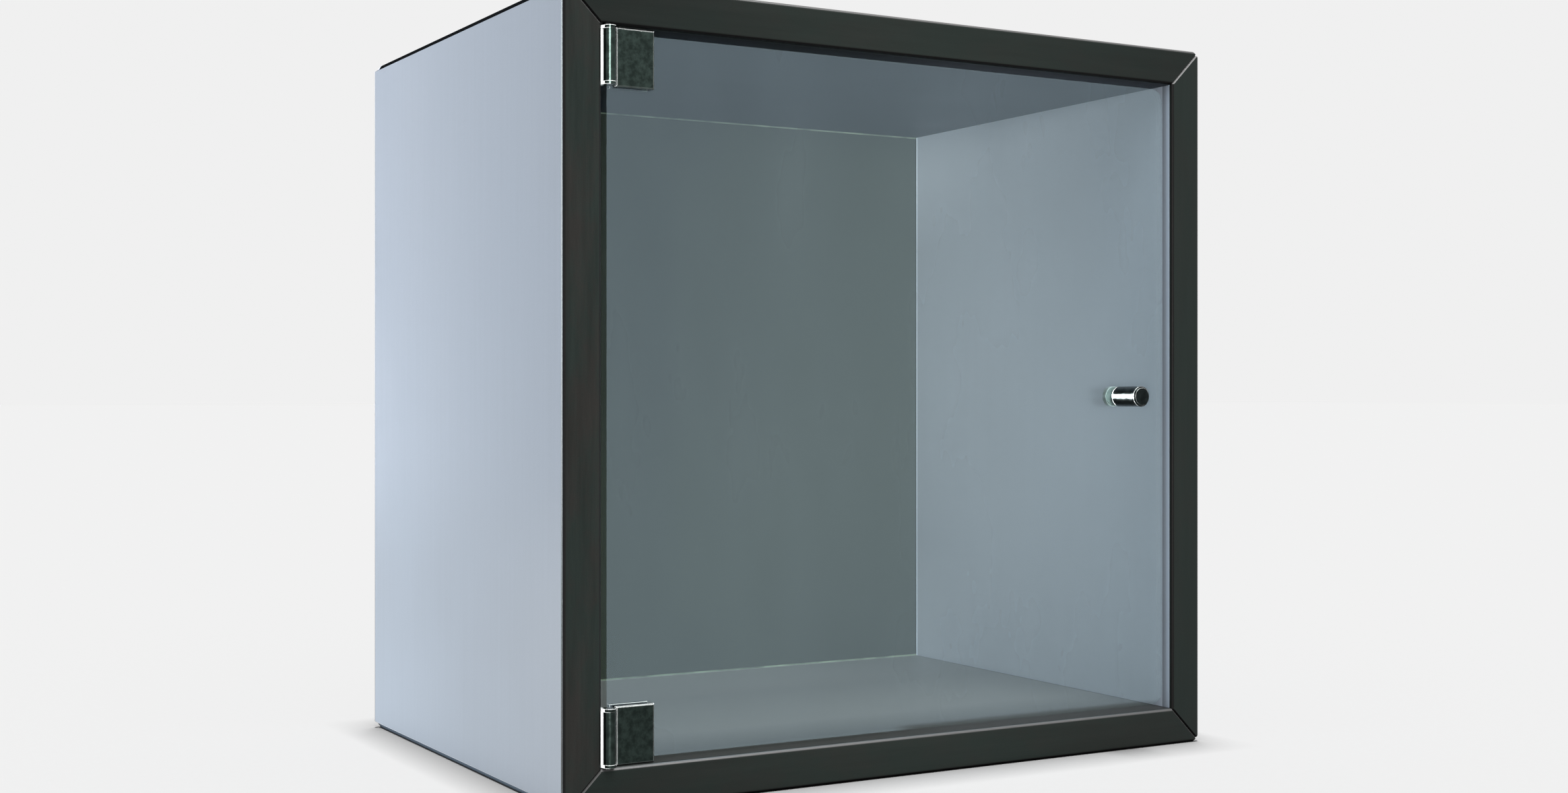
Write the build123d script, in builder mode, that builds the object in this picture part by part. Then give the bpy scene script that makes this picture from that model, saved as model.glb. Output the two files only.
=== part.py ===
from build123d import *
import os

# A square display cabinet with an inset frameless glass door on two glass-clamp hinges.
# Millimetres, +Z up. The origin is the centre of the underside, and the door faces -Y.

# Case
CASE_SIZE = 350.0  # outer width and outer height
CASE_DEPTH = 250.0
BOARD_T = 18.0
EDGING_T = 2.0  # plastic edging on the front and rear ends of the boards
EDGING_R = 1.9  # rounding of an edging's two long edges
GROOVE_FACE = 3.4  # corner groove: where it leaves a board's outer face
GROOVE_FLOOR = 2.05  # corner groove: its floor on the mitre, from both outer faces
MITRE_EASE = 0.7  # eased edges where two edgings meet

# Back panel, held in a slot in all four boards
PANEL_T = 3.0
PANEL_SETBACK = 17.0  # rear of the case to the rear of the panel
PANEL_BITE = 6.0  # depth of the slot
PANEL_PLAY = 0.1  # slot wall to panel face
PANEL_END_PLAY = 0.5  # slot floor to panel edge

# Dowels across the mitres
DOWEL_R = 2.5
DOWEL_L = 16.0
DOWEL_CHAMFER = 0.6
DOWEL_END_PLAY = 0.5
DOWEL_INSET = 50.0  # front or rear end of a board to its dowel
MITRE_MID = (GROOVE_FLOOR + BOARD_T) / 2  # middle of the mitre, from both outer faces

# Glass door
GLASS_T = 4.0
GLASS_RECESS = 5.0  # front of the case to the front of the glass
GLASS_GAP = 2.0  # to the boards above, below and on the knob side
GLASS_HINGE_GAP = 4.0  # to the board on the hinge side
GLASS_CORNER_R = 7.0
GLASS_EASE = 0.3

# Hinges
HINGE_H = 25.0
HINGE_GAP = 0.3  # hinge to the board above or below it
PIVOT_INSET = 3.4  # hinge-side board to the pivot, which lies in the case's front plane
PIN_R = 1.25
BARREL_R = 2.7
BARREL_BORE_R = 1.3
EAR_T = 1.4
EAR_ROOT = 4.0  # length of the ear where it joins the leaf
EAR_PLAY = 0.1  # ear to barrel end
LEAF_T = 1.5
LEAF_FRONT = 2.0  # front of the case to the leaf's front edge
LEAF_L = 18.0
LEAF_CORNER_R = 2.0
LEAF_SCREW_SETBACK = 14.5  # front of the case to the leaf's screws
LEAF_SCREW_DZ = 7.0  # hinge middle to each screw
WEB_PLAY = 0.8  # leaf to the clamp's web
WEB_T = 1.2
JAW_T = 2.0
JAW_OFFSET = 4.3  # pivot to the inner end of the full-height jaws
JAW_L = 18.0
REAR_JAW_T = 2.5
NECK_T = 1.5
JAW_EASE = 0.35
PAD_T = 0.5
PAD_INSET = 0.6  # jaw edge to pad edge
GRUB_R = 2.0
GRUB_L = 2.8
GRUB_SOCKET_R = 1.15
GRUB_SOCKET_DEPTH = 1.6
GRUB_DZ = 6.5  # hinge middle to each grub screw

# Knob
KNOB_INSET = 48.0  # outer face of the knob-side board to the knob's axis
KNOB_R = 5.0
KNOB_STAND = 17.4  # front of the glass to the knob's end
KNOB_CHAMFER = 0.8
KNOB_BORE_DEPTH = 9.0
KNOB_HOLE_R = 2.5
WASHER_T = 0.5
WASHER_R = 4.7
WASHER_BORE_R = 2.1
DISC_T = 2.7
DISC_CHAMFER = 0.4

# Countersunk screws
SCREW_R = 1.5
SCREW_HEAD_R = 2.8
SCREW_L = 12.0
SCREW_POINT = 2.5
KNOB_SCREW_R = 2.0
KNOB_SCREW_HEAD_R = 3.8
KNOB_SCREW_L = 13.0
KNOB_SCREW_POINT = 0.6
RECESS_L = 3.0  # cross recess in a screw head
RECESS_W = 0.7
RECESS_DEPTH = 1.2

# Places worked out from the sizes above
HALF = CASE_SIZE / 2
FRONT_Y = -CASE_DEPTH / 2
REAR_Y = CASE_DEPTH / 2
INNER_X = HALF - BOARD_T
BOARD_DEPTH = CASE_DEPTH - 2 * EDGING_T
PANEL_REAR_Y = REAR_Y - PANEL_SETBACK
DOWEL_YS = (FRONT_Y + EDGING_T + DOWEL_INSET, REAR_Y - EDGING_T - DOWEL_INSET)
GLASS_LEFT_X = GLASS_HINGE_GAP - INNER_X
GLASS_RIGHT_X = INNER_X - GLASS_GAP
GLASS_FRONT_Y = FRONT_Y + GLASS_RECESS
GLASS_REAR_Y = GLASS_FRONT_Y + GLASS_T
GLASS_H = CASE_SIZE - 2 * (BOARD_T + GLASS_GAP)
PIVOT_X = PIVOT_INSET - INNER_X
PIVOT_Y = FRONT_Y
LEAF_FACE_X = LEAF_T - INNER_X
LEAF_FRONT_Y = FRONT_Y + LEAF_FRONT
WEB_LEFT_X = LEAF_FACE_X + WEB_PLAY
WEB_RIGHT_X = WEB_LEFT_X + WEB_T
JAW_LEFT_X = PIVOT_X + JAW_OFFSET
JAW_RIGHT_X = JAW_LEFT_X + JAW_L
JAW_BACK_Y = GLASS_FRONT_Y - PAD_T
REAR_JAW_Y = GLASS_REAR_Y + PAD_T
BARREL_H = HINGE_H - 2 * (EAR_T + EAR_PLAY)
KNOB_X = HALF - KNOB_INSET
HINGE_Z = BOARD_T + HINGE_GAP + HINGE_H / 2
HINGES = {"lower": HINGE_Z, "upper": CASE_SIZE - HINGE_Z}
ENDS = (-1, 1)

# Each side of the case is the bottom one turned about the case's centre line, and each
# corner is the bottom left one turned the same way.
SIDES = {"bottom": 0, "right": 90, "top": 180, "left": 270}
CORNERS = {"bottom_left": 0, "bottom_right": 90, "top_right": 180, "top_left": 270}


def case_plane(y, turn=0):
    """Plane at depth y facing the front, centred on the case and turned to one side."""
    return Plane(Plane((0, y, HALF), (1, 0, 0), (0, -1, 0)).location * Rot(0, 0, turn))


def strip_plane(y, turn):
    """Plane across the middle of a side at depth y: local X points to the rear."""
    return Plane(case_plane(y, turn).location * Rot(0, 90, 0))


def mitre_plane(y, turn):
    """Plane in a corner's mitre joint, at its middle, facing one of the two boards."""
    corner = Pos(MITRE_MID - HALF, MITRE_MID - HALF, 0)
    return Plane(case_plane(y, turn).location * corner * Rot(0, 0, -45) * Rot(0, 90, 0))


def mitre_line_plane(y, turn):
    """Plane across a corner's mitre joint at the outer corner: local X points to the rear."""
    corner = Pos(-HALF, -HALF, 0)
    return Plane(case_plane(y, turn).location * corner * Rot(0, 0, 45) * Rot(0, 90, 0))


def leaf_screw_plane(z):
    """Plane on the inside of a hinge leaf, facing into the case."""
    return Plane((LEAF_FACE_X, FRONT_Y + LEAF_SCREW_SETBACK, z), (0, 1, 0), (1, 0, 0))


def knob_plane(y):
    """Plane across the knob's axis at depth y, facing the rear."""
    return Plane((KNOB_X, y, HALF), (1, 0, 0), (0, 1, 0))


def side_outline():
    """Section of the bottom board: mitred ends, and half a groove at each outer corner."""
    right = [
        (HALF - GROOVE_FACE, -HALF),
        (HALF - GROOVE_FLOOR, GROOVE_FLOOR - HALF),
        (INNER_X, -INNER_X),
    ]
    left = [(-x, y) for x, y in reversed(right)]
    Polygon(*right, *left, align=None)


def span(x0, y0, x1, y1):
    """Rectangle between two opposite corners."""
    with Locations(((x0 + x1) / 2, (y0 + y1) / 2)):
        Rectangle(abs(x1 - x0), abs(y1 - y0))


def save(piece, label):
    """Label a finished piece and write it."""
    piece.part.label = label
    export_step(piece.part, f"parts/{label}.step")


def edging(end_y, inward, turn):
    """Rounded, mitred strip on the ends of one board; inward is +1 at the front, -1 at the rear."""
    with BuildPart() as strip:
        with BuildSketch(strip_plane(end_y, turn)) as section:
            span(0, -HALF, inward * EDGING_T, -INNER_X)
            outer = section.vertices().group_by(Axis.X)[0 if inward > 0 else -1]
            fillet(outer, EDGING_R)
        extrude(amount=HALF, both=True)
        with BuildSketch(case_plane(end_y, turn)):
            side_outline()
        extrude(amount=EDGING_T, both=True, mode=Mode.INTERSECT)
        for corner_turn in (turn, turn + 90):
            with BuildSketch(mitre_line_plane(end_y, corner_turn)):
                inner = inward * MITRE_EASE
                Polygon((inner, 0), (-inner, 2 * MITRE_EASE), (-inner, -2 * MITRE_EASE), align=None)
            extrude(amount=CASE_SIZE / 10, mode=Mode.SUBTRACT)
    return strip


def countersunk_screws(planes, radius, head_radius, length, point):
    """Screws with cross recesses, each with its head in one plane and its shank behind it."""
    head = head_radius - radius
    with BuildPart() as screws:
        for plane in planes:
            with BuildSketch(Plane(plane.location * Rot(90, 0, 0))):
                Polygon(
                    (0, 0),
                    (head_radius, 0),
                    (radius, -head),
                    (radius, point - length),
                    (0, -length),
                    align=None,
                )
            revolve(axis=Axis(plane.origin, plane.z_dir))
            with BuildSketch(plane):
                Rectangle(RECESS_L, RECESS_W)
                Rectangle(RECESS_W, RECESS_L)
            extrude(amount=-RECESS_DEPTH, mode=Mode.SUBTRACT)
    return screws


os.makedirs("parts", exist_ok=True)

# Four mitred boards. The hinge-side board also takes the hinge screws.
for side, turn in SIDES.items():
    with BuildPart() as board:
        with BuildSketch(case_plane(REAR_Y - EDGING_T, turn)):
            side_outline()
        extrude(amount=BOARD_DEPTH)
        with BuildSketch(case_plane(PANEL_REAR_Y + PANEL_PLAY, turn)):
            span(-HALF, -INNER_X - PANEL_BITE, HALF, -INNER_X)
        extrude(amount=PANEL_T + 2 * PANEL_PLAY, mode=Mode.SUBTRACT)
        for corner_turn in (turn, turn + 90):
            for dowel_y in DOWEL_YS:
                with BuildSketch(mitre_plane(dowel_y, corner_turn)):
                    Circle(DOWEL_R)
                extrude(amount=DOWEL_L / 2 + DOWEL_END_PLAY, both=True, mode=Mode.SUBTRACT)
        if side == "left":
            for hinge_z in HINGES.values():
                for end in ENDS:
                    with BuildSketch(leaf_screw_plane(hinge_z + end * LEAF_SCREW_DZ)):
                        Circle(SCREW_R)
                    extrude(amount=-SCREW_L, mode=Mode.SUBTRACT)
    save(board, f"{side}_board")

for side, turn in SIDES.items():
    save(edging(FRONT_Y, 1, turn), f"{side}_front_edging")
    save(edging(REAR_Y, -1, turn), f"{side}_rear_edging")

# Two dowels across each mitre
for corner, turn in CORNERS.items():
    with BuildPart() as dowels:
        for dowel_y in DOWEL_YS:
            with BuildSketch(mitre_plane(dowel_y, turn)):
                Circle(DOWEL_R)
            extrude(amount=DOWEL_L / 2, both=True)
        chamfer(dowels.edges().filter_by(GeomType.CIRCLE), DOWEL_CHAMFER)
    save(dowels, f"{corner}_dowels")

with BuildPart() as back_panel:
    with BuildSketch(case_plane(PANEL_REAR_Y)):
        panel_size = 2 * (INNER_X + PANEL_BITE - PANEL_END_PLAY)
        Rectangle(panel_size, panel_size)
    extrude(amount=PANEL_T)
save(back_panel, "back_panel")

# Toughened glass pane, drilled for the knob
with BuildPart() as glass_door:
    with BuildSketch(case_plane(GLASS_REAR_Y)):
        span(GLASS_LEFT_X, -GLASS_H / 2, GLASS_RIGHT_X, GLASS_H / 2)
        fillet(vertices(), GLASS_CORNER_R)
    extrude(amount=GLASS_T)
    chamfer(glass_door.edges().filter_by(Axis.Y, reverse=True), GLASS_EASE)
    with BuildSketch(knob_plane(GLASS_FRONT_Y)):
        Circle(KNOB_HOLE_R)
    extrude(amount=GLASS_T, mode=Mode.SUBTRACT)
save(glass_door, "glass_door")

# Hinges. The bracket and its pin belong to the case, and the clamp grips the glass.
for hinge, hinge_z in HINGES.items():
    middle = Plane.XY.offset(hinge_z)

    with BuildPart() as bracket:
        with BuildSketch(middle):
            span(-INNER_X, LEAF_FRONT_Y, LEAF_FACE_X, LEAF_FRONT_Y + LEAF_L)
        extrude(amount=HINGE_H / 2, both=True)
        fillet(bracket.edges().filter_by(Axis.X).group_by(Axis.Y)[-1], LEAF_CORNER_R)
        for end in ENDS:
            with BuildSketch(Plane.XY.offset(hinge_z + end * HINGE_H / 2)):
                with Locations((PIVOT_X, PIVOT_Y)):
                    Circle(BARREL_R)
                span(-INNER_X, LEAF_FRONT_Y, LEAF_FACE_X, LEAF_FRONT_Y + EAR_ROOT)
                make_hull()
            extrude(amount=-end * EAR_T)
        with BuildSketch(middle):
            with Locations((PIVOT_X, PIVOT_Y)):
                Circle(PIN_R)
        extrude(amount=HINGE_H / 2, both=True, mode=Mode.SUBTRACT)
        for end in ENDS:
            with Locations(leaf_screw_plane(hinge_z + end * LEAF_SCREW_DZ).location):
                CounterSinkHole(SCREW_R, SCREW_HEAD_R, counter_sink_angle=90)
    save(bracket, f"{hinge}_hinge_bracket")

    with BuildPart() as pin:
        with BuildSketch(middle):
            with Locations((PIVOT_X, PIVOT_Y)):
                Circle(PIN_R)
        extrude(amount=HINGE_H / 2, both=True)
    save(pin, f"{hinge}_hinge_pin")

    grub_planes = [
        Plane(
            ((JAW_LEFT_X + JAW_RIGHT_X) / 2, REAR_JAW_Y + GRUB_L, hinge_z + end * GRUB_DZ),
            (1, 0, 0),
            (0, 1, 0),
        )
        for end in ENDS
    ]

    with BuildPart() as clamp:
        with BuildSketch(middle):
            with Locations((PIVOT_X, PIVOT_Y)):
                Circle(BARREL_R)
            span(WEB_LEFT_X, PIVOT_Y, PIVOT_X + BARREL_R, JAW_BACK_Y)
            span(WEB_LEFT_X, JAW_BACK_Y - NECK_T, JAW_LEFT_X, JAW_BACK_Y)
            span(WEB_LEFT_X, PIVOT_Y, WEB_RIGHT_X, REAR_JAW_Y + REAR_JAW_T)
            span(WEB_LEFT_X, REAR_JAW_Y, JAW_LEFT_X, REAR_JAW_Y + REAR_JAW_T)
        extrude(amount=BARREL_H / 2, both=True)
        with BuildSketch(middle):
            span(JAW_LEFT_X, JAW_BACK_Y - JAW_T, JAW_RIGHT_X, JAW_BACK_Y)
            span(JAW_LEFT_X, REAR_JAW_Y, JAW_RIGHT_X, REAR_JAW_Y + REAR_JAW_T)
        extrude(amount=HINGE_H / 2, both=True)
        jaw_faces = clamp.faces().filter_by(Plane.XZ)
        for face_y in (JAW_BACK_Y - JAW_T, REAR_JAW_Y + REAR_JAW_T):
            outer = jaw_faces.filter_by(lambda face: abs(face.center().Y - face_y) < JAW_EASE)
            rim = outer.sort_by(SortBy.AREA)[-1].edges()
            chamfer(rim.filter_by_position(Axis.X, JAW_LEFT_X, JAW_RIGHT_X), JAW_EASE)
        with BuildSketch(middle):
            with Locations((PIVOT_X, PIVOT_Y)):
                Circle(BARREL_BORE_R)
        extrude(amount=HINGE_H / 2, both=True, mode=Mode.SUBTRACT)
        for plane in grub_planes:
            with BuildSketch(plane):
                Circle(GRUB_R)
            extrude(amount=-GRUB_L, mode=Mode.SUBTRACT)
    save(clamp, f"{hinge}_glass_clamp")

    for side, pad_y in {"front": JAW_BACK_Y, "rear": GLASS_REAR_Y}.items():
        with BuildPart() as pad:
            with BuildSketch(middle):
                span(JAW_LEFT_X + PAD_INSET, pad_y, JAW_RIGHT_X - PAD_INSET, pad_y + PAD_T)
            extrude(amount=HINGE_H / 2 - GLASS_GAP - PAD_INSET, both=True)
        save(pad, f"{hinge}_{side}_clamp_pad")

    with BuildPart() as grub_screws:
        for plane in grub_planes:
            with BuildSketch(plane):
                Circle(GRUB_R)
            extrude(amount=-GRUB_L)
            with BuildSketch(plane):
                RegularPolygon(GRUB_SOCKET_R, 6)
            extrude(amount=-GRUB_SOCKET_DEPTH, mode=Mode.SUBTRACT)
    save(grub_screws, f"{hinge}_clamp_grub_screws")

    leaf_planes = [leaf_screw_plane(hinge_z + end * LEAF_SCREW_DZ) for end in ENDS]
    bracket_screws = countersunk_screws(
        leaf_planes, SCREW_R, SCREW_HEAD_R, SCREW_L, SCREW_POINT
    )
    save(bracket_screws, f"{hinge}_bracket_screws")

# Knob, drawn onto the glass by a screw through a disc behind it
with BuildPart() as knob:
    with BuildSketch(knob_plane(GLASS_FRONT_Y - KNOB_STAND)):
        Circle(KNOB_R)
    extrude(amount=KNOB_STAND - WASHER_T)
    chamfer(knob.edges().group_by(Axis.Y)[0], KNOB_CHAMFER)
    with BuildSketch(knob_plane(GLASS_FRONT_Y - WASHER_T)):
        Circle(KNOB_SCREW_R)
    extrude(amount=-KNOB_BORE_DEPTH, mode=Mode.SUBTRACT)
save(knob, "knob")

for side, washer_y in {"front": GLASS_FRONT_Y - WASHER_T, "rear": GLASS_REAR_Y}.items():
    with BuildPart() as washer:
        with BuildSketch(knob_plane(washer_y)):
            Circle(WASHER_R)
            Circle(WASHER_BORE_R, mode=Mode.SUBTRACT)
        extrude(amount=WASHER_T)
    save(washer, f"knob_{side}_washer")

DISC_REAR_Y = GLASS_REAR_Y + WASHER_T + DISC_T
with BuildPart() as knob_disc:
    with BuildSketch(knob_plane(GLASS_REAR_Y + WASHER_T)):
        Circle(KNOB_R)
    extrude(amount=DISC_T)
    chamfer(knob_disc.edges().group_by(Axis.Y)[-1], DISC_CHAMFER)
    with Locations(knob_plane(DISC_REAR_Y).location):
        CounterSinkHole(KNOB_SCREW_R, KNOB_SCREW_HEAD_R, counter_sink_angle=90)
save(knob_disc, "knob_rear_disc")

knob_screw = countersunk_screws(
    [knob_plane(DISC_REAR_Y)], KNOB_SCREW_R, KNOB_SCREW_HEAD_R, KNOB_SCREW_L, KNOB_SCREW_POINT
)
save(knob_screw, "knob_screw")
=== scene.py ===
import math

import bpy
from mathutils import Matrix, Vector


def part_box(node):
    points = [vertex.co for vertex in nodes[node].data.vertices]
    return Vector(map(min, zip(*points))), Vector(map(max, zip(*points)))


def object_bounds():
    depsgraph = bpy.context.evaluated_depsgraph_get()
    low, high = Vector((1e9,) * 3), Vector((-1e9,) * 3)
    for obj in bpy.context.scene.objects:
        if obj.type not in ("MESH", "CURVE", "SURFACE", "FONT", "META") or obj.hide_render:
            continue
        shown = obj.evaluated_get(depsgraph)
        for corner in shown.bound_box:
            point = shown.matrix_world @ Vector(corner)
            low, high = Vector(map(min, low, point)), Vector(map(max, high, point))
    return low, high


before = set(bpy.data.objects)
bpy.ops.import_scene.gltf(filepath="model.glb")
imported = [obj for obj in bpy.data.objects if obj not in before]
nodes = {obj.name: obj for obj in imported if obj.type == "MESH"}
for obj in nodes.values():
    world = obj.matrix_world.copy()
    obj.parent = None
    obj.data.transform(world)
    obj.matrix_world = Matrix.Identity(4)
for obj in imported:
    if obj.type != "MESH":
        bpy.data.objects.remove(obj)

cad_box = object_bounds()
MM = 0.001

# Y of the boards' front under the edging, X of the right board's inner face, Y of the back panel's
BOARD_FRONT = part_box("right_board")[0].y
WALL_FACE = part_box("right_board")[0].x
BACK_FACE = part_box("back_panel")[0].y

# How far the painted light at the case's rear reaches from the back panel
REAR_REACH = 80 * MM

# The camera stands at half the cabinet's height, to the left of its door. Its turn is in degrees
# and its lens in millimetres.
CAMERA_AT = Vector((-0.4947, -0.8631, 0.175))
CAMERA_TURN = -30.0
CAMERA_LENS = 44.02

# Radiance of the studio's white, which the backdrop and the open floor share
WHITE = 0.871
FLOOR_ALBEDO = 0.1

EDGING_COLOUR = (0.0152, 0.0212, 0.019)

# Each edging's share of that colour, a painted shade that makes lit and shaded copies of one plastic; the
# painted light or shade on its sideways roundings; and its mottling
EDGING_PAINTED_SHADE_AND_MOTTLE = {
    "bottom": (0.85, 1.0, 0.35),
    "right": (0.83, 0.08, 0.25),
    "top": (0.63, 1.0, 0.25),
    "left": (1.0, 2.6, 0.8),
}

BLACK_CHROME = (0.031, 0.045, 0.04)
KNOB_CHROME = (0.014, 0.018, 0.018)
# Colour of the painted highlights on dark plating
PAINTED_HIGHLIGHT_COLOUR = (0.85, 0.88, 0.87)


# ---------------------------------------------------------------- node helpers

def new_material(name):
    """A material with its node tree and its Principled shader."""
    material = bpy.data.materials.new(name)
    material.use_nodes = True
    return material, material.node_tree, material.node_tree.nodes["Principled BSDF"]


def add(tree, kind, inputs=(), **settings):
    """A shader node. An input is given by name or index, as a value or as another node's output."""
    made = tree.nodes.new("ShaderNode" + kind)
    for key, value in settings.items():
        setattr(made, key, value)
    for key, value in dict(inputs).items():
        if isinstance(value, bpy.types.NodeSocket):
            tree.links.new(value, made.inputs[key])
        else:
            made.inputs[key].default_value = value
    return made


def maths(tree, operation, first, second=0.0, clamp=False):
    return add(tree, "Math", {0: first, 1: second}, operation=operation, use_clamp=clamp).outputs[0]


def product(tree, first, *others):
    """All the values multiplied together."""
    for other in others:
        first = maths(tree, "MULTIPLY", first, other)
    return first


def over(tree, value, limit):
    """1 where the value is over the limit, 0 elsewhere."""
    return maths(tree, "GREATER_THAN", value, limit)


def under(tree, value, limit):
    """1 where the value is under the limit, 0 elsewhere."""
    return maths(tree, "LESS_THAN", value, limit)


def within(tree, value, low, high):
    """1 where the value lies between the two limits, 0 elsewhere."""
    return product(tree, over(tree, value, low), under(tree, value, high))


def place(tree, scale=(1, 1, 1)):
    """Object coordinates, stretched. A CAD node's object coordinates are the row frame's metres."""
    where = add(tree, "TexCoord").outputs["Object"]
    return add(tree, "Mapping", {"Vector": where, "Scale": scale}).outputs["Vector"]


def parts(tree, vector):
    """The X, Y and Z of a vector, each as an output."""
    return add(tree, "SeparateXYZ", {0: vector}).outputs


def position(tree):
    """The surface point's X, Y and Z in the row frame's metres, each as an output."""
    return parts(tree, place(tree))


def noise(tree, size, detail=3.0, stretch=(1, 1, 1), roughness=0.55):
    """Noise with features of about the given size in metres."""
    return add(tree, "TexNoise", {
        "Vector": place(tree, stretch),
        "Scale": 1 / size,
        "Detail": detail,
        "Roughness": roughness,
    }).outputs["Fac"]


def spread(tree, value, low, high, at=(0.3, 0.7)):
    """Maps a span of the value, by default a noise's usual one, to low and high, and stops there."""
    return add(tree, "MapRange", {
        "Value": value, "From Min": at[0], "From Max": at[1], "To Min": low, "To Max": high,
    }).outputs["Result"]


def facing(tree, axis):
    """How squarely a surface faces along one of its object's own axes, 0 to 1."""
    normal = add(tree, "TexCoord").outputs["Normal"]
    return maths(tree, "ABSOLUTE", parts(tree, normal)[axis])


def blend_colours(tree, factor, first, second):
    """The first colour where the factor is 0, the second where it's 1."""
    made = tree.nodes.new("ShaderNodeMix")
    made.data_type = "RGBA"
    for socket, value in ((made.inputs[0], factor), (made.inputs[6], first), (made.inputs[7], second)):
        if isinstance(value, bpy.types.NodeSocket):
            tree.links.new(value, socket)
        else:
            socket.default_value = (*value, 1.0)
    return made.outputs[2]


def shaded(tree, colour, tone):
    """A colour multiplied by a tone."""
    return add(tree, "VectorMath", {0: colour, "Scale": tone}, operation="SCALE").outputs["Vector"]


def feed(tree, shader, outputs):
    """Links an output to each named input of a shader."""
    for name, output in outputs.items():
        tree.links.new(output, shader.inputs[name])


def bump(tree, shader, height, distance, strength):
    made = add(tree, "Bump", {"Height": height, "Distance": distance, "Strength": strength})
    feed(tree, shader, {"Normal": made.outputs["Normal"]})


def scaled(colour, factor):
    return tuple(channel * factor for channel in colour)


# ----------------------------------------------------------------- board tones
# A tone multiplies a board's colour. It carries lighter lines and seams at the joints, and painted shade
# and painted light that the lamps don't give.

def inside_case(tree, where):
    """1 on the boards' inner faces, 0 on their outer faces."""
    lo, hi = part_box("back_panel")
    reach = 2 * MM
    across = within(tree, where["X"], lo.x - reach, hi.x + reach)
    return product(tree, across, within(tree, where["Z"], lo.z - reach, hi.z + reach))


def inner_tone(tree, depth, at_front, at_depth=0.0):
    """A board's inner face, with painted shade over a depth behind the front and a lighter line along the
    back panel.

    at_front and at_depth say how much darker it is at either end of the depth.
    """
    joint_line_width = 1.2 * MM
    joint_line_tone = 1.2
    where = position(tree)
    # Painted shade behind the front.
    shade = spread(tree, where["Y"], -at_front, -at_depth, (BOARD_FRONT, BOARD_FRONT + depth))
    near = product(tree, shade, under(tree, where["Y"], BOARD_FRONT + depth))
    # A lighter line along the back panel.
    joint_line = product(tree, within(tree, where["Y"], BACK_FACE - joint_line_width, BACK_FACE), joint_line_tone)
    change = product(tree, maths(tree, "ADD", near, joint_line), inside_case(tree, where))
    return maths(tree, "ADD", 1.0, change)


def ceiling_tone(tree):
    """The case's ceiling, with painted shade just behind the front."""
    return inner_tone(tree, 10 * MM, 0.85)


def floor_tone(tree):
    """The case's floor, with painted shade to the front and right, painted light to the rear, and a seam at
    the right.
    """
    seam_width = 1.0 * MM
    where = position(tree)
    seam = product(tree, over(tree, where["X"], WALL_FACE - seam_width), 0.8)
    # Painted shade: lighter to the left, darker to the right.
    across = spread(tree, where["X"], 0.08, -0.1, (-60 * MM, 150 * MM))
    # Painted light towards the back panel.
    rear = spread(tree, where["Y"], 0.0, 0.75, (BACK_FACE - REAR_REACH, BACK_FACE))
    change = maths(tree, "ADD", maths(tree, "SUBTRACT", across, seam), rear)
    change = product(tree, change, inside_case(tree, where))
    return product(tree, inner_tone(tree, 60 * MM, 0.85), maths(tree, "ADD", 1.0, change))


def wall_tone(tree):
    """The right board, with painted shade in front of the pane and painted light in the case's two rear
    corners.
    """
    past_pane_front = 2.3 * MM
    pane_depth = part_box("glass_door")[0].y + past_pane_front - BOARD_FRONT
    lo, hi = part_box("back_panel")
    middle = (lo.z + hi.z) / 2
    where = position(tree)
    away = maths(tree, "ABSOLUTE", maths(tree, "SUBTRACT", where["Z"], middle))
    # Painted light in the case's two rear corners.
    corner = spread(tree, away, 0.0, 0.5, (0.5 * middle, 0.9 * middle))
    rear = spread(tree, where["Y"], 0.0, 1.0, (BACK_FACE - REAR_REACH, BACK_FACE))
    change = product(tree, corner, rear, inside_case(tree, where))
    return product(tree, inner_tone(tree, pane_depth, 0.12, 0.55), maths(tree, "ADD", 1.0, change))


def panel_tone(tree):
    """The back panel's inner face, with painted light to the left, patchy lighter lines above and below,
    and a seam at the right.
    """
    joint_line_width = 0.8 * MM
    seam_width = 0.9 * MM
    floor_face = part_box("bottom_board")[1].z
    ceiling_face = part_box("top_board")[0].z
    where = position(tree)
    between = within(tree, where["Z"], floor_face + joint_line_width, ceiling_face - joint_line_width)
    patchy = spread(tree, noise(tree, 0.012), 1.5, 7.0)
    joint_line = product(tree, maths(tree, "SUBTRACT", 1.0, between), patchy)
    seam = product(tree, over(tree, where["X"], WALL_FACE - seam_width), 0.35)
    # Painted light: lighter to the left.
    across = spread(tree, where["X"], 0.26, -0.08, (-20 * MM, 100 * MM))
    change = maths(tree, "ADD", across, maths(tree, "SUBTRACT", joint_line, seam))
    inner = under(tree, where["Y"], BACK_FACE + 1 * MM)
    return maths(tree, "ADD", 1.0, product(tree, change, inner))


# ------------------------------------------------------------------- materials

def laminate(name, decor, cut, axis, roughness, gloss=0.5, tone_nodes=None, painted_light_low_cut=None):
    """Laminated board: the decor on the faces square to the axis, and a matt cut colour on the others.

    tone_nodes adds the board's own tone. A low cut colour, if given, goes on the cuts in the board's lower
    half: a pale one paints light into the shaded foot of a corner groove.
    """
    material, tree, shader = new_material(name)
    cloud = noise(tree, 0.09, 4.0)
    streak = noise(tree, 0.0035, 2.0, (1.0, 1.0, 0.03))
    grain = noise(tree, 0.0006, 2.0)
    fine = product(tree, spread(tree, streak, 0.985, 1.015), spread(tree, grain, 0.985, 1.015))
    tone = product(tree, spread(tree, cloud, 0.975, 1.025), fine)
    if tone_nodes:
        tone = product(tree, tone, tone_nodes(tree))
    on_face = over(tree, facing(tree, axis), 0.95)
    if painted_light_low_cut:
        low = under(tree, position(tree)["Z"], cad_box[1].z / 2)
        cut = blend_colours(tree, low, cut, painted_light_low_cut)
    feed(tree, shader, {
        "Base Color": shaded(tree, blend_colours(tree, on_face, cut, decor), tone),
        "Roughness": spread(tree, cloud, roughness - 0.04, roughness + 0.05),
        "Specular IOR Level": product(tree, on_face, gloss),
    })
    bump(tree, shader, grain, 0.00004, 0.5)
    return material


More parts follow.
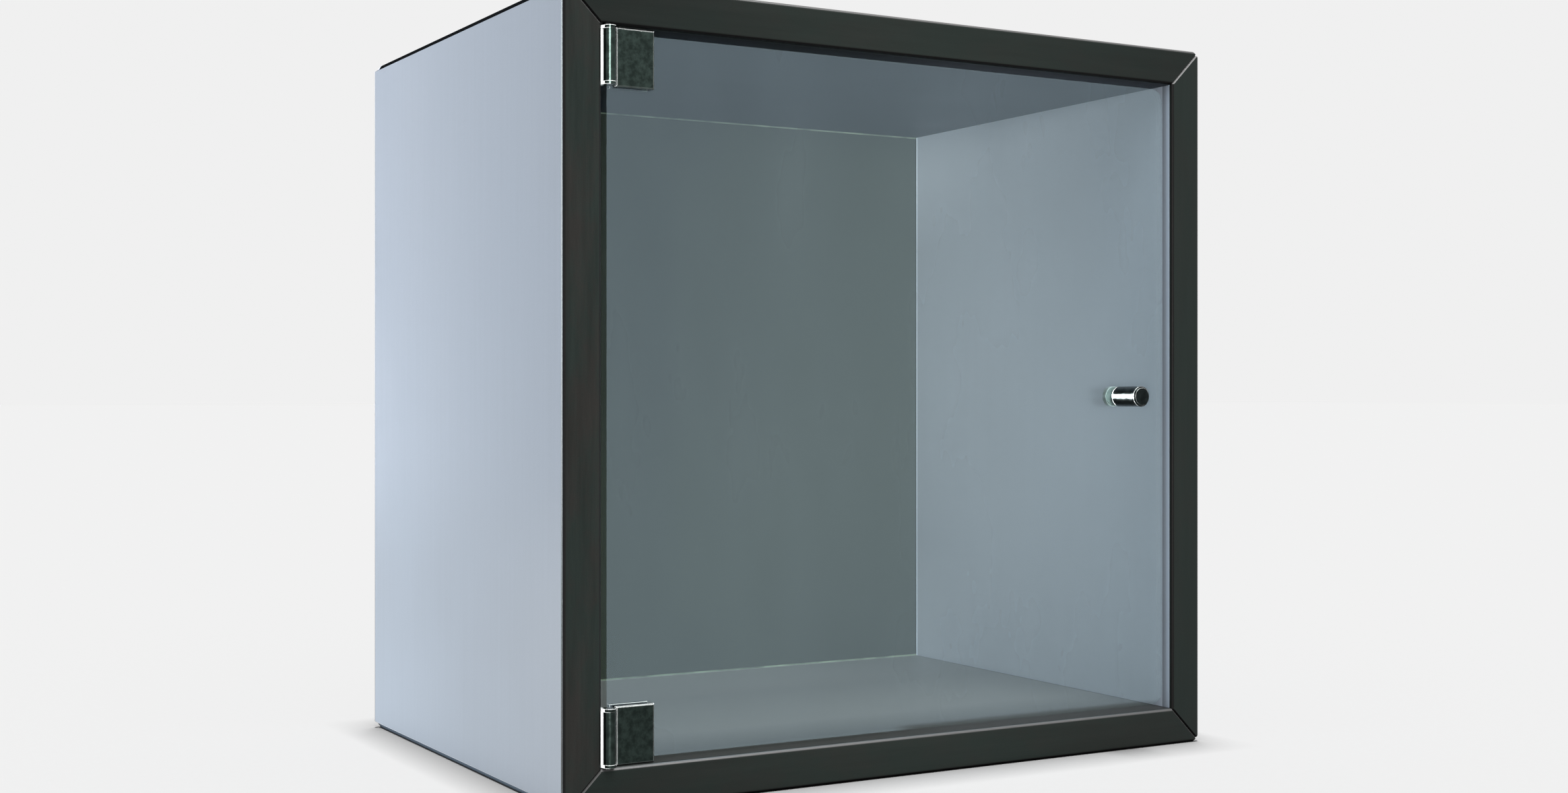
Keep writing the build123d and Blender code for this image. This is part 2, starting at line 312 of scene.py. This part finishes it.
def roundings_and_painted_light(tree, side_painted_light):
    """Where an edging is rounded, 0 to 1, and the painted light and shade there: lightest where it faces
    up, darkest where it faces down.
    """
    squarest = maths(tree, "MAXIMUM", facing(tree, "X"), facing(tree, "Y"))
    squarest = maths(tree, "MAXIMUM", squarest, facing(tree, "Z"))
    rounding = spread(tree, squarest, 1.0, 0.0, (0.9, 0.985))
    upward = parts(tree, add(tree, "NewGeometry").outputs["Normal"])["Z"]
    sideways = spread(tree, facing(tree, "X"), 0.4, side_painted_light, (0.83, 0.92))
    level = product(tree, sideways, spread(tree, upward, 0.05, 1.0, (-0.5, 0.0)))
    light = maths(tree, "MAXIMUM", level, spread(tree, upward, 0.0, 4.2, (0.1, 0.7)))
    return rounding, light


def edging_plastic(name, colour, along, side_painted_light, mottle):
    """Dark plastic edging: a fine grain, long drawn streaks, warm patches, and painted light and shade on
    its roundings.
    """
    material, tree, shader = new_material(name)
    drawn = {"X": (0.06, 1.0, 1.0), "Z": (1.0, 1.0, 0.06)}[along]
    patched = {"X": (0.5, 1.0, 1.0), "Z": (1.0, 1.0, 0.4)}[along]
    streak = noise(tree, 0.004, 4.0, drawn, 0.7)
    patch = noise(tree, 0.02, 5.0, patched, 0.7)
    grain = noise(tree, 0.0005, 3.0)
    rounding, light = roundings_and_painted_light(tree, side_painted_light)

    red, green, blue = colour
    warm = (red * (1 + 0.4 * mottle), green * (1 - 0.08 * mottle), blue * (1 - 0.05 * mottle))
    grey = (sum(colour) / 3,) * 3
    base = blend_colours(tree, spread(tree, patch, 0.0, 1.0, (0.42, 0.62)), colour, warm)
    base = blend_colours(tree, rounding, base, grey)
    streaks = spread(tree, streak, 1 - 0.22 * mottle, 1 + 0.22 * mottle)
    # Painted light and shade on the roundings, by which way they face.
    painted_rounding_light = product(tree, maths(tree, "SUBTRACT", light, 1.0), rounding)
    tone = product(tree, streaks, spread(tree, grain, 0.93, 1.07), maths(tree, "ADD", painted_rounding_light, 1.0))
    polish = product(tree, rounding, spread(tree, light, 0.0, 0.8, (0.5, 2.6)))
    feed(tree, shader, {
        "Base Color": shaded(tree, base, tone),
        "Roughness": spread(tree, streak, 0.3, 0.42),
        "Specular IOR Level": maths(tree, "MAXIMUM", polish, 0.08),
    })
    bump(tree, shader, grain, 0.00005, 0.6)
    return material


def edge_painted_highlight(tree, width):
    """A painted highlight, 0 to 1: along edges of the given width that lean up or to the left."""
    edge_normal = add(tree, "Bevel", {"Radius": width}, samples=6).outputs["Normal"]
    true_normal = add(tree, "NewGeometry").outputs["Normal"]
    agreement = add(tree, "VectorMath", {0: edge_normal, 1: true_normal}, operation="DOT_PRODUCT")
    on_edge = spread(tree, agreement.outputs["Value"], 1.0, 0.0, (0.93, 0.99))
    own_normal = add(tree, "VectorTransform", {0: edge_normal}, vector_type="NORMAL").outputs[0]
    lean = parts(tree, own_normal)
    upper = spread(tree, lean["Z"], 0.1, 1.0, (-0.1, 0.5))
    left = spread(tree, lean["X"], 1.0, 0.1, (-0.5, -0.2))
    return product(tree, on_edge, maths(tree, "MAXIMUM", upper, left))


def bracket_painted_highlight(tree):
    """1 where a bracket gets a painted highlight: the leaf on the board, and a strip of the ears beside it.
    """
    board_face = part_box("upper_hinge_bracket")[0].x
    leaf_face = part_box("upper_bracket_screws")[1].x
    strip = 0.8 * MM
    where = position(tree)
    on_leaf = under(tree, where["X"], leaf_face + 0.05 * MM)
    leaf = product(tree, on_leaf, over(tree, where["Y"], BOARD_FRONT - 0.2 * MM))
    return maths(tree, "MAXIMUM", leaf, under(tree, where["X"], board_face + strip))


def highlit_plating(name, colour, roughness, edge_width, highlight_from=-1.0, painted_highlight=None):
    """Dark plating with painted highlights along its edges where X is over the given limit, and where the
    given mask says.

    The painted highlights aren't metallic, so that they show light whatever they face.
    """
    material, tree, shader = new_material(name)
    mottle = noise(tree, 0.0035, 4.0, roughness=0.7)
    speck = noise(tree, 0.0007, 2.0)
    # Painted highlights: along the upper and left edges, and on the given parts.
    highlit = product(tree, edge_painted_highlight(tree, edge_width), over(tree, position(tree)["X"], highlight_from))
    if painted_highlight:
        highlit = maths(tree, "MAXIMUM", highlit, painted_highlight(tree))
    clouded = spread(tree, mottle, 0.0, 1.0, (0.4, 0.6))
    plating = blend_colours(tree, clouded, scaled(colour, 0.72), scaled(colour, 1.32))
    feed(tree, shader, {
        "Base Color": blend_colours(tree, highlit, plating, PAINTED_HIGHLIGHT_COLOUR),
        "Metallic": maths(tree, "SUBTRACT", 1.0, highlit),
        "Roughness": spread(tree, mottle, roughness - 0.05, roughness + 0.07),
    })
    bump(tree, shader, speck, 0.00002, 0.4)
    return material


def plain_metal(name, colour, roughness):
    """Bare metal with a slightly clouded finish."""
    material, tree, shader = new_material(name)
    cloud = noise(tree, 0.002, 3.0)
    shader.inputs["Metallic"].default_value = 1.0
    feed(tree, shader, {
        "Base Color": shaded(tree, colour, spread(tree, cloud, 0.9, 1.08)),
        "Roughness": spread(tree, cloud, roughness - 0.06, roughness + 0.08),
    })
    bump(tree, shader, noise(tree, 0.0004), 0.00002, 0.4)
    return material


def soft_plastic(name, colour, roughness):
    """Rubber or plastic with a fine matt grain."""
    material, tree, shader = new_material(name)
    grain = noise(tree, 0.0006, 3.0)
    feed(tree, shader, {
        "Base Color": shaded(tree, colour, spread(tree, grain, 0.88, 1.12)),
        "Roughness": spread(tree, grain, roughness - 0.05, roughness + 0.05),
    })
    bump(tree, shader, grain, 0.00004, 0.5)
    return material


def beech(name):
    """Dowel wood, with fine rings and pores."""
    material, tree, shader = new_material(name)
    ring = add(tree, "TexWave", {"Vector": place(tree), "Scale": 220.0, "Distortion": 3.0}).outputs["Fac"]
    pore = noise(tree, 0.0005, 3.0)
    colour = blend_colours(tree, ring, (0.42, 0.27, 0.14), (0.56, 0.39, 0.22))
    feed(tree, shader, {
        "Base Color": shaded(tree, colour, spread(tree, pore, 0.85, 1.1)),
        "Roughness": spread(tree, pore, 0.5, 0.7),
    })
    bump(tree, shader, pore, 0.00006, 0.5)
    return material


def painted_reflection_strength(tree):
    """A painted reflection pattern: the pane mirrors less to the right, and its mirroring fades along the
    right half of its lower edge.
    """
    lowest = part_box("glass_door")[0].z
    where = position(tree)
    clear_of_edge = spread(tree, where["Z"], 0.0, 1.0, (lowest + 0.8 * MM, lowest + 2.8 * MM))
    left_half = spread(tree, where["X"], 1.0, 0.0, (-8 * MM, 6 * MM))
    across = spread(tree, where["X"], 1.0, 0.85, (-60 * MM, 100 * MM))
    return product(tree, maths(tree, "MAXIMUM", clear_of_edge, left_half), across)


def pane_glass(name, tint, mirror, edge):
    """Thin coated glass that doesn't bend light. Where a ray enters, it mirrors for both of its faces."""
    material, tree, shader = new_material(name)
    tree.nodes.remove(shader)
    smear = noise(tree, 0.05, 4.0, (1.0, 1.0, 0.4))
    clear = add(tree, "BsdfTransparent", {"Color": (*tint, 1.0)}).outputs[0]
    gloss = add(tree, "BsdfGlossy", {"Color": (*mirror, 1.0)})
    feed(tree, gloss, {"Roughness": spread(tree, smear, 0.22, 0.3)})

    fresnel = add(tree, "Fresnel", {"IOR": 1.75}).outputs["Fac"]
    entering = maths(tree, "SUBTRACT", 1.0, add(tree, "NewGeometry").outputs["Backfacing"])
    share = product(tree, fresnel, 2.0, entering)
    share = maths(tree, "MULTIPLY", share, spread(tree, smear, 0.96, 1.04), clamp=True)
    # Painted reflection: the mirroring varies across the pane.
    share = product(tree, share, painted_reflection_strength(tree))
    face = add(tree, "MixShader", {0: share, 1: clear, 2: gloss.outputs[0]}).outputs[0]

    ground = add(tree, "BsdfPrincipled", {"Base Color": (*edge, 1.0), "Roughness": 0.25}).outputs[0]
    rim = add(tree, "MixShader", {0: 0.08, 1: clear, 2: ground}).outputs[0]
    on_face = over(tree, facing(tree, "Y"), 0.9)
    pane = add(tree, "MixShader", {0: on_face, 1: rim, 2: face}).outputs[0]
    feed(tree, tree.nodes["Material Output"], {"Surface": pane})
    return material


# -------------------------------------------------------------------- painting

def paint(node, material):
    """Gives a CAD node one material in all its slots."""
    for slot in nodes[node].material_slots:
        slot.material = material


def paint_boards():
    dark_cut = (0.006, 0.007, 0.008)
    # Painted light: the side boards' lower cuts are pale, so the shaded foot of the corner groove shows
    # light.
    painted_light_cut = (0.72, 0.78, 0.84)
    grey_cut = (0.2, 0.26, 0.33)
    left = laminate("left_laminate", (0.273, 0.325, 0.391), dark_cut, axis="X", roughness=0.36,
                    painted_light_low_cut=painted_light_cut)
    # Painted light: the right board's decor is a lighter copy of the left board's.
    right = laminate("right_laminate", (0.334, 0.392, 0.468), dark_cut, axis="X", roughness=0.36,
                     tone_nodes=wall_tone, painted_light_low_cut=painted_light_cut)
    top = laminate("top_laminate", (0.03, 0.037, 0.05), dark_cut, axis="Z", roughness=0.5,
                   gloss=0.15, tone_nodes=ceiling_tone)
    bottom = laminate("bottom_laminate", (0.19, 0.2, 0.197), grey_cut, axis="Z", roughness=0.5,
                      gloss=0.3, tone_nodes=floor_tone)
    back = laminate("back_laminate", (0.043, 0.0565, 0.0425), dark_cut, axis="Y", roughness=0.55,
                    gloss=0.25, tone_nodes=panel_tone)
    paint("left_board", left)
    paint("right_board", right)
    paint("top_board", top)
    paint("bottom_board", bottom)
    paint("back_panel", back)


def paint_edgings():
    for side, (share, side_painted_light, mottle) in EDGING_PAINTED_SHADE_AND_MOTTLE.items():
        along = "Z" if side in ("left", "right") else "X"
        # The share is a painted shade: the edgings are lit and shaded copies of one plastic.
        colour = scaled(EDGING_COLOUR, share)
        plastic = edging_plastic(f"{side}_edging_plastic", colour, along, side_painted_light, mottle)
        for end in ("front", "rear"):
            paint(f"{side}_{end}_edging", plastic)


def paint_dowels():
    dowel = beech("beech_dowel")
    for corner in ("bottom_left", "bottom_right", "top_right", "top_left"):
        paint(f"{corner}_dowels", dowel)


def paint_door(steel):
    rubber = soft_plastic("pad_rubber", (0.02, 0.02, 0.022), 0.6)
    jaw_length = 18.1 * MM
    jaw_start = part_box("upper_glass_clamp")[1].x - jaw_length
    # The lower hinge's plating is a darker copy of the upper's: painted shade.
    for hinge, tone in (("lower", 0.65), ("upper", 1.0)):
        chrome = scaled(BLACK_CHROME, tone)
        bracket = highlit_plating(f"{hinge}_bracket_plating", chrome, roughness=0.16, edge_width=0.4 * MM,
                               painted_highlight=bracket_painted_highlight)
        clamp = highlit_plating(f"{hinge}_clamp_plating", chrome, roughness=0.2, edge_width=0.7 * MM,
                             highlight_from=jaw_start)
        paint(f"{hinge}_hinge_bracket", bracket)
        paint(f"{hinge}_glass_clamp", clamp)
        for part in ("hinge_pin", "bracket_screws", "clamp_grub_screws"):
            paint(f"{hinge}_{part}", steel)
        for side in ("front", "rear"):
            paint(f"{hinge}_{side}_clamp_pad", rubber)
    glass = pane_glass("pane_glass", tint=(0.97, 0.985, 0.98), mirror=(0.65, 0.84, 0.96),
                       edge=(0.16, 0.21, 0.21))
    paint("glass_door", glass)


def paint_knob(steel):
    clear_plastic = soft_plastic("washer_plastic", (0.12, 0.17, 0.165), 0.35)
    paint("knob", highlit_plating("knob_plating", KNOB_CHROME, roughness=0.15, edge_width=0.25 * MM))
    paint("knob_rear_disc", plain_metal("satin_disc", (0.72, 0.85, 0.85), 0.5))
    paint("knob_screw", steel)
    for side in ("front", "rear"):
        paint(f"knob_{side}_washer", clear_plastic)


# ----------------------------------------------------------------------- stage

def group(name, members):
    """A collection for light linking; its members stay in the scene's own collection too."""
    made = bpy.data.collections.new(name)
    for member in members:
        made.objects.link(member)
    return made


def make_floor():
    """A plain pale floor that runs to the horizon."""
    bpy.ops.mesh.primitive_plane_add(size=80.0)
    floor = bpy.context.object
    floor.name = "floor"
    material, tree, shader = new_material("pale_floor")
    tree.nodes.remove(shader)
    fleck = noise(tree, 0.004, 3.0)
    tone = spread(tree, fleck, FLOOR_ALBEDO * 0.995, FLOOR_ALBEDO * 1.005)
    matt = add(tree, "BsdfDiffuse", {"Color": tone})
    feed(tree, tree.nodes["Material Output"], {"Surface": matt.outputs[0]})
    floor.data.materials.append(material)
    return floor


def make_world():
    world = bpy.data.worlds.new("studio")
    bpy.context.scene.world = world
    world.use_nodes = True
    background = world.node_tree.nodes["Background"]
    background.inputs["Color"].default_value = (WHITE, WHITE, WHITE, 1.0)
    background.inputs["Strength"].default_value = 1.0


def area_light(name, width, height, energy, receivers, blockers=None):
    """A rectangular light for a group of pieces. If blockers are given, only they cast its shadows."""
    data = bpy.data.lights.new(name, "AREA")
    data.shape = "RECTANGLE"
    data.size = width
    data.size_y = height
    data.energy = energy
    lamp = bpy.data.objects.new(name, data)
    bpy.context.scene.collection.objects.link(lamp)
    lamp.light_linking.receiver_collection = receivers
    lamp.light_linking.blocker_collection = blockers
    return lamp


def softbox(name, receivers, azimuth, elevation, distance, size, radiance,
            colour=(1, 1, 1), aim=None, spread_angle=180, blockers=None):
    """A soft light turned to a point, or to the cabinet's middle if none is given.

    Azimuth 0 is in front of the door, 90 to its right.
    """
    turn, tilt = math.radians(azimuth), math.radians(elevation)
    lo, hi = cad_box
    target = aim or (lo + hi) / 2
    out = Vector((math.sin(turn) * math.cos(tilt), -math.cos(turn) * math.cos(tilt), math.sin(tilt)))
    width, height = size
    lamp = area_light(name, width, height, radiance * math.pi * width * height, receivers, blockers)
    lamp.data.color = colour
    lamp.data.spread = math.radians(spread_angle)
    lamp.location = target + out * distance
    lamp.rotation_euler = out.to_track_quat("Z", "Y").to_euler()
    return lamp


def light_floor(floor):
    """A far overhead panel for the floor alone. Its reach each way sets the contact shadow's fade.

    The side boards don't block it, which keeps the floor under their corner grooves from going black.
    """
    height = 2000.0
    to_left, to_right, to_front = 0.06, 0.068, 0.085
    level_trim = 1.02
    width = (to_left + to_right) * height
    depth = 2 * to_front * height
    energy = level_trim * (math.pi * height) ** 2 * WHITE * (1 - FLOOR_ALBEDO) / FLOOR_ALBEDO
    casters = [nodes[name] for name in nodes if name not in ("left_board", "right_board")]
    lamp = area_light("floor_panel", width, depth, energy, group("floor_only", [floor]),
                      group("floor_shadow_casters", casters))
    lamp.location = ((to_right - to_left) / 2 * height, 0, height)


def light_cabinet():
    """The lamps for the whole cabinet. Of these, only the rear one lights the left board."""
    everything = group("object_only", nodes.values())
    not_left = group("all_but_left_board", [nodes[name] for name in nodes if name != "left_board"])
    wall_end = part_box("right_board")[1]
    far_wall = Vector((WALL_FACE, wall_end.y * 0.6, wall_end.z / 2))
    softbox("top_softbox", not_left, azimuth=-15, elevation=72, distance=1.6, size=(1.6, 1.2),
            radiance=3.0)
    softbox("key", not_left, azimuth=-38, elevation=-1, distance=1.3, size=(0.12, 1.3),
            radiance=1.7, colour=(1.0, 0.93, 0.87), aim=far_wall, spread_angle=16)
    softbox("front_overhead", not_left, azimuth=5, elevation=50, distance=1.6, size=(1.2, 0.8),
            radiance=5.2)
    softbox("rear_softbox", everything, azimuth=-176, elevation=0, distance=2.0, size=(0.78, 2.0),
            radiance=8.0, colour=(0.7, 0.8, 1.0))


def light_left_side():
    """A rim light for the left front edging, and a bounce at the rear foot of the left board."""
    left_edging = group("left_edging_only", [nodes["left_front_edging"]])
    softbox("left_rim", left_edging, azimuth=-125, elevation=0, distance=1.5, size=(1.2, 1.4),
            radiance=26.0, colour=(0.82, 0.92, 1.0))
    left_board = group("left_only", [nodes["left_board"]])
    lo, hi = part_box("left_board")
    rear_foot = Vector((lo.x, hi.y * 1.2, 0))
    bounce = softbox("left_bounce", left_board, azimuth=-90, elevation=0, distance=0.2,
                     size=(0.2, 0.2), radiance=3.1, aim=rear_foot, blockers=left_board)
    # It stands close to the cabinet, where other views could see it.
    bounce.visible_camera = False


def is_fitting(name):
    """Whether a node is one of the door's metal fittings."""
    return name.startswith("knob") or "hinge" in name or "clamp" in name


def light_fittings():
    """A front strip for the fittings' bright lines, and a glint along the knob."""
    fittings = group("fittings_only", [nodes[name] for name in nodes if is_fitting(name)])
    softbox("front_strip", fittings, azimuth=-22, elevation=4, distance=1.8, size=(0.6, 1.2),
            radiance=26.0)
    knob = group("knob_only", [nodes["knob"]])
    lo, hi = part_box("knob")
    softbox("knob_glint", knob, azimuth=-140, elevation=0, distance=1.0, size=(0.5, 0.5),
            radiance=380.0, aim=(lo + hi) / 2, blockers=knob)


def make_camera():
    data = bpy.data.cameras.new("camera")
    data.sensor_width = 36.0
    data.lens = CAMERA_LENS
    camera = bpy.data.objects.new("camera", data)
    camera.location = CAMERA_AT
    camera.rotation_euler = (math.radians(90), 0, math.radians(CAMERA_TURN))
    bpy.context.scene.collection.objects.link(camera)
    bpy.context.scene.camera = camera


zinc_steel = plain_metal("zinc_plated_steel", (0.5, 0.52, 0.54), 0.32)
make_camera()
paint_boards()
paint_edgings()
paint_dowels()
paint_door(zinc_steel)
paint_knob(zinc_steel)
make_world()
light_floor(make_floor())
light_cabinet()
light_left_side()
light_fittings()
bpy.context.scene.view_settings.view_transform = "Standard"
